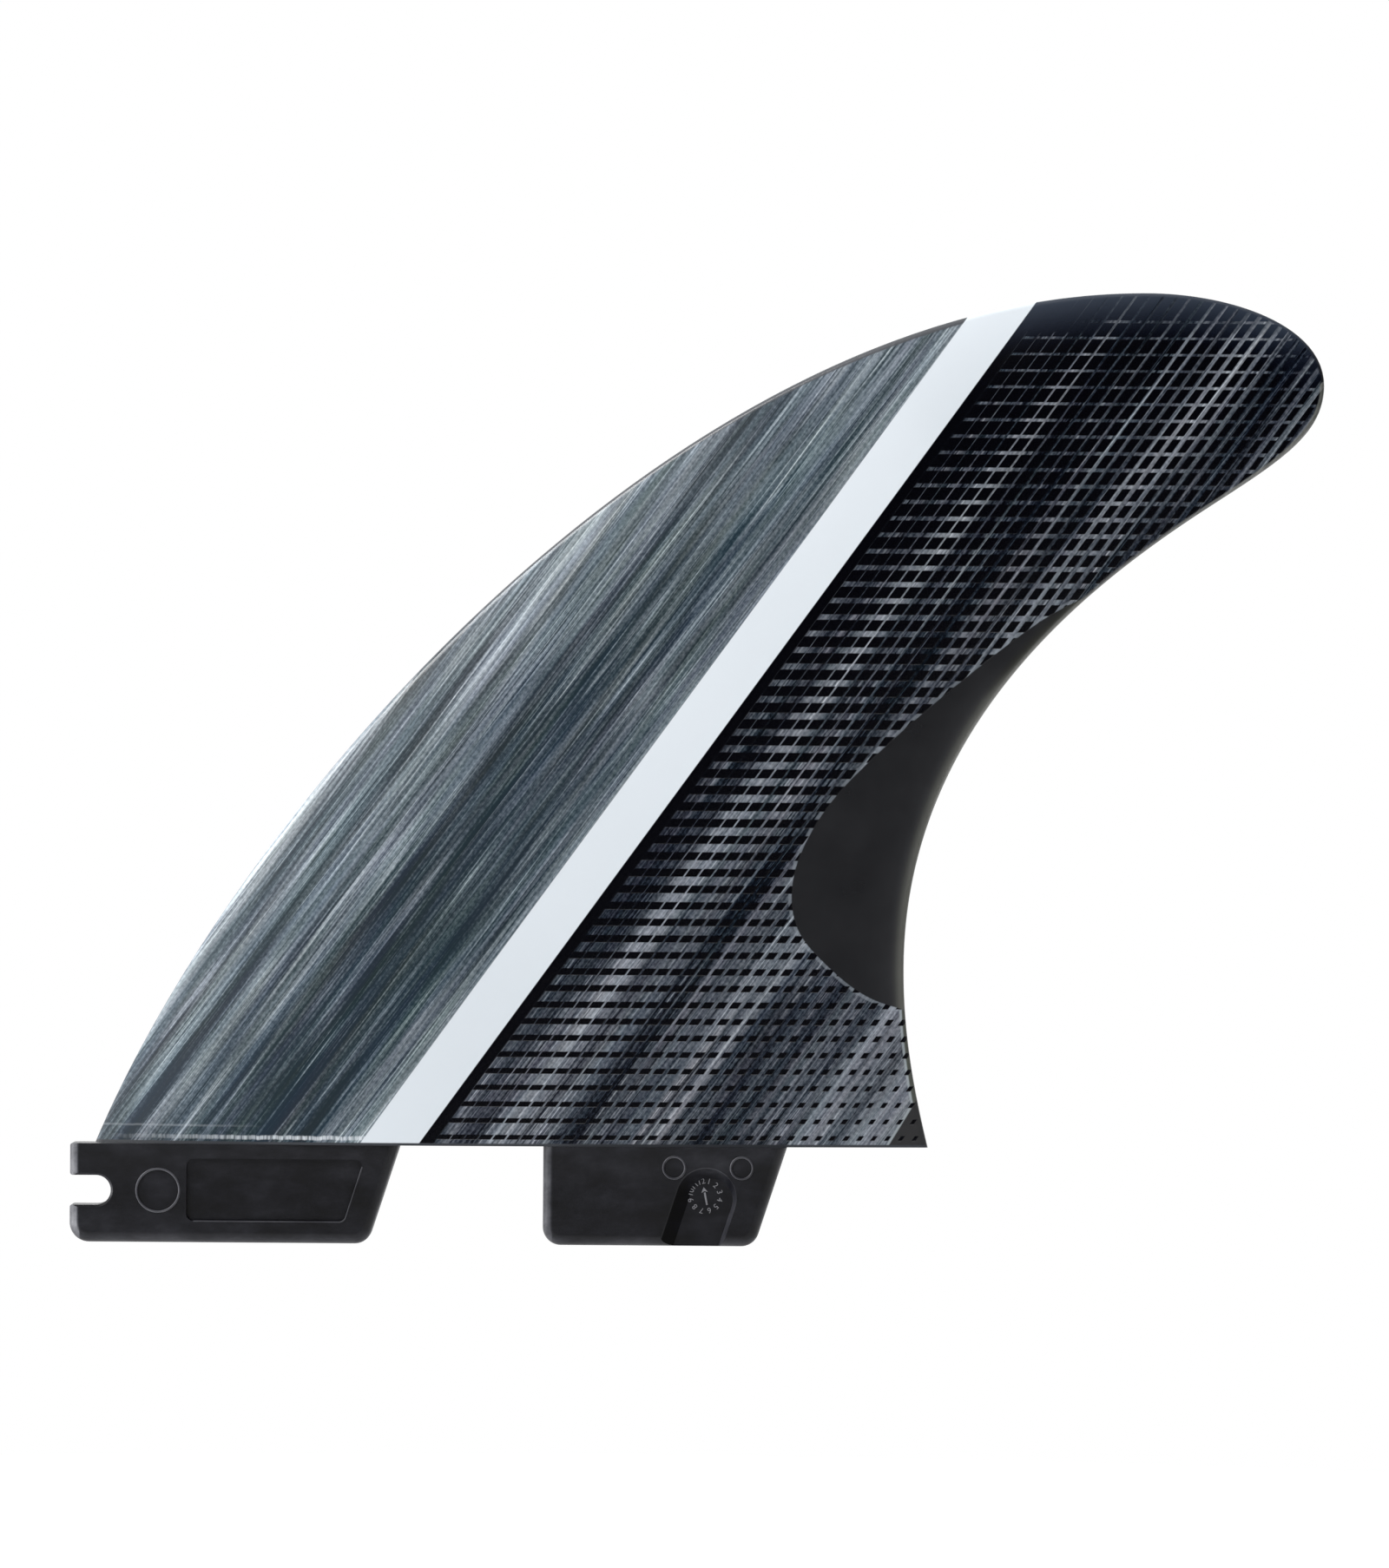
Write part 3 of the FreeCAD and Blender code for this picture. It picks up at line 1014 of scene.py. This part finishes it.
@dataclass(frozen=True)
class Nylon:
    """Finish of the tabs: dark glass-filled nylon with some mottling, and painted highlights on edges that
    face forward or down.

    Hollows carry painted shade, darker and duller than the faces round them, most of all on walls that face
    back or down.
    """

    tone: int = 22
    # Pale tones of the pin rims and the lip paint the highlights that their edges catch.
    rim_tone: int = 66
    faint_tone: int = 50
    dial_tone: int = 116
    # Places and strengths of the painted highlights on the tabs' front edges and walls.
    front_edges: tuple[float, float] = (-59.2, 5.8)
    rubbed: tuple[float, float] = (0.3, 0.16)
    rubbed_rim: float = 0.085
    outer_face: float = -3.15
    channel_span: tuple[float, float] = (18.0, 32.0)
    channel_top: float = -9.0
    tint: tuple[float, float, float] = (0.0, 0.002, 0.02)
    roughness: float = 0.42
    shine: float = 0.3
    grain: float = 0.012

    def hollow_shade(self, place: tuple[Flow, Flow, Flow],
                     normal: tuple[Flow, Flow, Flow]) -> tuple[Flow, Flow]:
        """Painted shade in the tabs' hollows: where they are hollow, and where walls of a hollow lie in
        shade.

        Args:
            place: Place in mm.
            normal: Direction that the surface faces.

        Returns:
            The shares of painted shade on the hollow floor and on walls in shade.
        """
        x, y, z = place
        start, end = self.channel_span
        inside = (y - self.outer_face).ramp(0.04, 0.1) * y.fall(-1.9, 0.2)
        in_channel = x.above(start) * (1 - x.above(end)) * z.fall(-2, 0.5)
        facing_back = normal[0].ramp(0.05, 0.25)
        facing_down = normal[2].ramp(-0.1, -0.3) * z.above(self.channel_top)
        floor = inside * normal[1].ramp(-0.7, -0.95)
        return floor, inside * in_channel * facing_back.at_least(facing_down)

    def rubbing(self, x: Flow, normal: tuple[Flow, Flow, Flow]) -> Flow:
        """Painted highlight on edges and walls that face forward or down, where they would catch the light.

        Args:
            x: Place along X.
            normal: Direction that the surface faces.

        Returns:
            The tone that the painted highlight adds.
        """
        at_front = x.fall(self.front_edges[0], 0.3)
        at_rear = x.fall(self.front_edges[1], 0.3) * x.step(0, 1)
        edges = normal[0].ramp(-0.08, -0.3) * (at_front * self.rubbed[0] + at_rear * self.rubbed[1])
        rims = normal[0].ramp(-0.3, -0.7, 0, self.rubbed_rim)
        return edges.at_least(rims).at_least(normal[2].ramp(-0.1, -0.5, 0, self.rubbed_rim))

    def material(self, name: str, tone: int) -> Material:
        """Make the material.

        Args:
            name: Name of the material.
            tone: Display level of its colour.

        Returns:
            The material.
        """
        shader = Shader(name)
        x, y, z = shader.place()
        normal = shader.parts_of(shader.node("ShaderNodeNewGeometry").outputs["Normal"])
        cloudy = shader.noise(x * 0.16, y * 0.4, z * 0.3, detail=3, roughness=0.6)
        speckle = shader.noise(x * 3, y * 3, z * 3, detail=2, roughness=0.6)
        grain = shader.noise(x * 6, y * 6, z * 6, detail=3, roughness=0.6)
        low = z.ramp(-2, -6)
        # Painted highlights on edges and walls facing forward or down, varied by the mottling.
        rubbed = self.rubbing(x, normal) * (cloudy * 1.2 + 1)
        mottle_and_highlight = cloudy * 0.24 + speckle * 0.03 + rubbed - low * 0.012 + display(tone)
        # Painted shade: hollow floors and walls facing back or down are darkened and their gloss dulled.
        hollow, wall_shade = self.hollow_shade((x, y, z), normal)
        colour = shader.tinted(mottle_and_highlight - hollow * 0.005 - wall_shade * 0.05, self.tint)
        shine = (1 - low * 0.16 - hollow * 0.05 - wall_shade * 0.6) * self.shine
        return shader.finish(Base_Color=colour, Roughness=self.roughness, Specular_IOR_Level=shine,
                             Normal=shader.bump(grain, self.grain))


@dataclass
class Blade:
    """The laminated blade."""

    outline: Outline = field(default_factory=Outline)
    foil: Foil = field(default_factory=Foil)
    insert: Insert = field(default_factory=Insert)
    finish: Laminate = Laminate()

    def build(self) -> list[Piece]:
        """Build the shell and seat it on the frame."""
        piece = BladeForm(self.outline, self.foil, self.insert).build(self.finish.material())
        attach(piece, BODY)
        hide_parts("blade")
        return [piece]


@dataclass
class Dial:
    """Month dial on the rear tab: twelve plain numbers round a pointer."""

    centre: tuple[float, float] = (26.8, -6.7)
    radius: float = 2.03
    number_height: float = 1.1
    turn: float = 16.0
    pointer_turn: float = 11.0
    pointer_length: float = 2.5
    pointer_width: float = 0.24
    head_length: float = 0.75
    head_width: float = 0.9
    head_hollow: float = 0.2
    relief: float = 0.12
    clearance: float = 0.01


@dataclass(frozen=True)
class Lip:
    """Rounded lip along the lower and the slanted edge of the bare field on the front tab, the edges that
    face the light; its pale finish is a painted highlight.
    """

    head: tuple[float, float] = (-20.4, -3.0)
    corner: tuple[float, float] = (-22.84, -10.6)
    end: tuple[float, float] = (-43.6, -10.6)
    slant: float = 72.0
    corner_radius: float = 1.0
    bead: float = 0.1

    def guide(self) -> Piece:
        """Make the guide curve, two straight runs joined by an arc."""
        still, up, ahead = Vector(), heading(self.slant), Vector((1, 0, 0))
        setback = self.corner_radius / math.tan(math.radians(180 - self.slant) / 2)
        pull = self.corner_radius * math.tan(math.radians(self.slant) / 4) * 4 / 3
        head, corner, end = (Vector((x, 0, z)) for x, z in (self.head, self.corner, self.end))
        points = [(head, still, still), (corner + up * setback, still, up * -pull),
                  (corner - ahead * setback, ahead * pull, still), (end, still, still)]
        return bezier_object("Lip Line", points)


@dataclass
class Relief:
    """Fine raised marks of the mould on the tabs: rims round the pin marks, a lip and the dial. The rims and
    the lip have pale finishes that paint highlights.
    """

    front_rims: Triples = ((-48.5, -6.4, 2.95),)
    rear_rims: Triples = ((22.5, -2.8, 1.5), (31.8, -2.8, 1.5))
    bead: float = 0.16
    bead_share_out: float = 0.45
    bead_sides: int = 10
    rim_sides: int = 72
    lip: Lip = Lip()
    dial: Dial = field(default_factory=Dial)
    channel_depth: float = 1.0

    def rims(self, form: Form, face: Flow, places: Triples) -> Socket:
        """Round beads, half sunk in the face, round the pin marks.

        Args:
            form: The tree to add to.
            face: Level of the tab's outer face along Y.
            places: Centre and radius of each rim.

        Returns:
            The beads' geometry.
        """
        bead = form.number("Rim Bead", self.bead)
        profile = form.circle(self.bead_sides, bead)
        level = face + bead * (1 - 2 * self.bead_share_out)
        rings = []
        for x, z, radius in places:
            inputs = {"Curve": form.circle(self.rim_sides, radius), "Profile Curve": profile}
            ring = form.shape("CurveToMesh", inputs)
            rings.append(form.moved(ring, Translation=form.vector(x, level, z), Rotation=UPRIGHT))
        return form.joined(rings)

    def field_lip(self, form: Form, face: Flow, guide: Piece) -> Socket:
        """Round bead along two edges of the bare field, which carries a painted highlight.

        Args:
            form: The tree to add to.
            face: Level of the tab's outer face along Y.
            guide: Line of the lip.

        Returns:
            The bead's geometry.
        """
        profile = form.circle(self.bead_sides, form.number("Lip Bead", self.lip.bead))
        inputs = {"Curve": form.guide_curve("Lip Line", guide), "Profile Curve": profile, "Fill Caps": True}
        return form.moved(form.shape("CurveToMesh", inputs), Translation=form.vector(0, face, 0))

    def raised(self, form: Form, outline: Socket, height: Flow) -> Socket:
        """Closed plate over a flat outline.

        Args:
            form: The tree to add to.
            outline: The outline.
            height: Thickness of the plate.

        Returns:
            The plate's geometry.
        """
        flat = form.shape("FillCurve", {0: outline}, mode="TRIANGLES")
        upper = form.shape("ExtrudeMesh", {"Mesh": flat, "Offset Scale": height, "Individual": False})
        both = form.joined((upper, form.shape("FlipFaces", {0: flat})))
        return form.shape("MergeByDistance", {"Geometry": both, "Distance": 0.0005})

    def pointer(self, form: Form) -> Socket:
        """Outline of the arrow in the middle of the dial, pointing up."""
        dial = self.dial
        half = dial.pointer_length / 2
        neck = half - dial.head_length
        reach = dial.head_width / 2
        kind = "CurvePrimitiveQuadrilateral"
        shaft = form.shape(kind, {"Width": dial.pointer_width, "Height": half + neck})
        corners = ((0, half, 0), (-reach, neck, 0), (0, neck + dial.head_hollow, 0), (reach, neck, 0))
        head = form.shape(kind, {f"Point {place}": corner for place, corner in enumerate(corners, 1)},
                          mode="POINTS")
        return form.joined((form.moved(shaft, Translation=(0, (neck - half) / 2, 0)), head))

    def dial_plate(self, form: Form, face: Flow) -> Socket:
        """Raised numbers and pointer on the floor of the channel.

        Args:
            form: The tree to add to.
            face: Level of the tab's outer face along Y.

        Returns:
            The dial's geometry.
        """
        dial = self.dial
        height = form.number("Dial Relief", dial.relief)
        radius = form.number("Dial Radius", dial.radius)
        size = form.number("Number Height", dial.number_height)
        marks = []
        for number in range(1, 13):
            letters = form.shape("StringToCurves", {"String": str(number), "Size": size},
                                 align_x="CENTER", align_y="MIDDLE")
            solid = self.raised(form, form.shape("RealizeInstances", {0: letters}), height)
            outwards = form.moved(solid, Translation=form.vector(0, radius, 0))
            marks.append(form.moved(outwards, Rotation=(0, 0, math.radians(dial.turn - 30 * number))))
        arrow = self.raised(form, self.pointer(form), height)
        marks.append(form.moved(arrow, Rotation=(0, 0, math.radians(dial.pointer_turn))))
        place = form.vector(dial.centre[0], face + self.channel_depth + dial.clearance, dial.centre[1])
        return form.moved(form.joined(marks), Translation=place, Rotation=UPRIGHT)

    def seated(self, form: Form, geometry: Socket, material: Material, name: str) -> Piece:
        """Run a tree and seat its piece on the frame.

        Args:
            form: The tree.
            geometry: What it makes.
            material: Finish of the piece.
            name: Name of the piece.

        Returns:
            The piece.
        """
        piece = form.finish(geometry, material, name)
        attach(piece, BODY)
        return piece

    def build(self, rim_finish: Material, faint_finish: Material, dial_finish: Material) -> list[Piece]:
        """Build the marks of both tabs.

        Args:
            rim_finish: Pale finish of the rim on the front tab, its tone a painted highlight.
            faint_finish: Paler finish of the lip and of the rims on the rear tab, its tone a painted
                highlight.
            dial_finish: Finish of the dial.

        Returns:
            The objects of the marks.
        """
        guide = self.lip.guide()
        marks = (
            ("front_tab_pin_rims", "front_tab", rim_finish, partial(self.rims, places=self.front_rims)),
            ("rear_tab_pin_rims", "rear_tab", faint_finish, partial(self.rims, places=self.rear_rims)),
            ("field_lip", "front_tab", faint_finish, partial(self.field_lip, guide=guide)),
            ("month_dial", "rear_tab", dial_finish, self.dial_plate))
        pieces = []
        for name, tab, finish, shape in marks:
            form = Form(name)
            face = form.number("Outer Face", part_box(tab)[0].y / MM)
            pieces.append(self.seated(form, shape(form, face), finish, name))
        bpy.data.objects.remove(guide)
        return pieces


@dataclass
class Tabs:
    """The two moulded tabs, whose solids stay as they are."""

    finish: Nylon = Nylon()
    relief: Relief = field(default_factory=Relief)

    def build(self, nodes: dict[str, Piece]) -> list[Piece]:
        """Dress the tabs and add their raised marks.

        Args:
            nodes: The frame's nodes by name.

        Returns:
            The pieces that belong to the tabs.
        """
        finish = self.finish
        plain = finish.material("moulded_nylon", finish.tone)
        tabs = [nodes[name] for name in ("front_tab", "rear_tab")]
        for tab in tabs:
            tab.data.materials.clear()
            tab.data.materials.append(plain)
        # The rim and lip finishes are pale: painted highlights.
        return tabs + self.relief.build(finish.material("nylon_pin_rim_highlight", finish.rim_tone),
                                        finish.material("nylon_faint_rim_highlights", finish.faint_tone),
                                        finish.material("nylon_dial", finish.dial_tone))


@dataclass(frozen=True)
class Lamp:
    """Square soft lamp, in metres and watts."""

    name: str
    place: tuple[float, float, float]
    size: float
    power: float

    def build(self, aim: Vector) -> None:
        """Add the lamp, unseen by the camera.

        Args:
            aim: Place that it points at.
        """
        data = bpy.data.lights.new(self.name, "AREA")
        data.shape = "SQUARE"
        data.size = self.size
        data.energy = self.power
        lamp = linked(self.name, data)
        lamp.location = self.place
        lamp.rotation_euler = (aim - Vector(self.place)).to_track_quat("-Z", "Y").to_euler()
        lamp.visible_camera = False


@dataclass
class Studio:
    """Camera, floor, world and lamps."""

    aim: tuple[float, float] = (24.9, 50.0)
    frame_height: float = 216.2
    focal_length: float = 200.0
    sensor: float = 36.0
    roll: float = 0.42
    floor_level: float = -75.0
    floor_radius: float = 420.0
    floor_sides: int = 96
    floor_tone: float = 0.86
    glow_start: float = 150.0
    glow_end: float = 320.0
    glow_least: float = 0.12
    fill: float = 0.85
    dark_direction: tuple[float, float, float] = (0.12, -1.0, -0.16)
    dark_core: float = 0.9
    dark_rim: float = 0.55
    dark_level: float = 0.01
    left_weight: float = 0.75
    lamps: tuple[Lamp, ...] = (
        Lamp("key", (-1.3, -1.0, 1.5), 1.0, 38.0), Lamp("back", (0.3, 1.8, 1.0), 1.2, 8.0),
        Lamp("rim", (-2.0, -0.15, 0.1), 0.8, 18.0))

    def camera(self) -> None:
        """Place the camera square to the fin, at the distance that fits the frame."""
        data = bpy.data.cameras.new("camera")
        data.lens = self.focal_length
        data.sensor_width = self.sensor
        data.clip_start = 0.05
        data.clip_end = 50.0
        distance = self.frame_height * self.focal_length / self.sensor
        turn = Matrix.Rotation(UPRIGHT[0], 4, "X") @ Matrix.Rotation(math.radians(self.roll), 4, "Z")
        place = Vector((self.aim[0], -distance, self.aim[1])) * MM
        viewer = linked("camera", data)
        viewer.matrix_world = Matrix.Translation(place) @ turn
        bpy.context.scene.camera = viewer

    def world(self) -> None:
        """Soft even light and a white background, with the dark side of the room mirrored in gloss."""
        world = bpy.data.worlds.new("studio")
        world.use_nodes = True
        bpy.context.scene.world = world
        graph = Graph(world.node_tree)
        graph.tree.nodes.clear()
        rays = graph.node("ShaderNodeLightPath")
        x, y, z = graph.parts_of(graph.node("ShaderNodeTexCoord").outputs["Generated"])
        dark = Vector(self.dark_direction).normalized()
        towards_dark = x * dark.x + y * dark.y + z * dark.z
        room = towards_dark.ramp(self.dark_rim, self.dark_core, self.fill, self.dark_level)
        room = room * (1 - x * self.left_weight)
        mirrored = graph.flow(rays, "Is Glossy Ray").at_least(graph.flow(rays, "Is Transmission Ray"))
        white = graph.flow(rays, "Is Camera Ray").at_least(mirrored * y.above(0.3))
        inputs = {"Color": WHITE, "Strength": graph.mix(white, room, 1)}
        light = graph.first("ShaderNodeBackground", inputs)
        graph.tree.links.new(light, graph.node("ShaderNodeOutputWorld").inputs["Surface"])

    def floor(self) -> None:
        """Plain pale round floor below the fin, which fades into the white background."""
        turns = [2 * math.pi * index / self.floor_sides for index in range(self.floor_sides)]
        radius, level = self.floor_radius * MM, self.floor_level * MM
        rim = [(radius * math.cos(turn), radius * math.sin(turn), level) for turn in turns]
        mesh = bpy.data.meshes.new("floor")
        mesh.from_pydata(rim, [], [tuple(range(self.floor_sides))])
        floor = linked("floor", mesh)
        shader = Shader("pale_floor")
        rays = shader.node("ShaderNodeLightPath")
        seen = shader.flow(rays, "Is Camera Ray")
        for ray in ("Is Glossy Ray", "Is Transmission Ray"):
            seen = seen.at_least(shader.flow(rays, ray))
        x, y, _ = shader.place()
        glow_share = (x * x + y * y).root().ramp(self.glow_start, self.glow_end, self.glow_least, 1)
        lit = shader.first("ShaderNodeBsdfDiffuse", {"Color": (*[self.floor_tone] * 3, 1.0)})
        glow = shader.first("ShaderNodeEmission", {"Color": WHITE, "Strength": seen * glow_share})
        both = shader.first("ShaderNodeAddShader", {0: lit, 1: glow})
        shader.tree.links.new(both, shader.output.inputs["Surface"])
        mesh.materials.append(shader.material)

    def build(self) -> None:
        """Build the studio."""
        bpy.context.scene.view_settings.view_transform = "Standard"
        self.camera()
        self.world()
        self.floor()
        for lamp in self.lamps:
            lamp.build(Vector((self.aim[0], 0, self.aim[1])) * MM)


def main() -> None:
    """Build the pieces in order and report each."""
    logging.basicConfig(level=logging.INFO, format="%(name)s: %(message)s")
    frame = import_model()
    Studio().build()
    pieces = Blade().build() + Tabs().build(frame["nodes"])
    for piece in pieces:
        LOG.info("%s: %d faces", piece.name, len(piece.data.polygons))


if __name__ == "__main__":
    main()
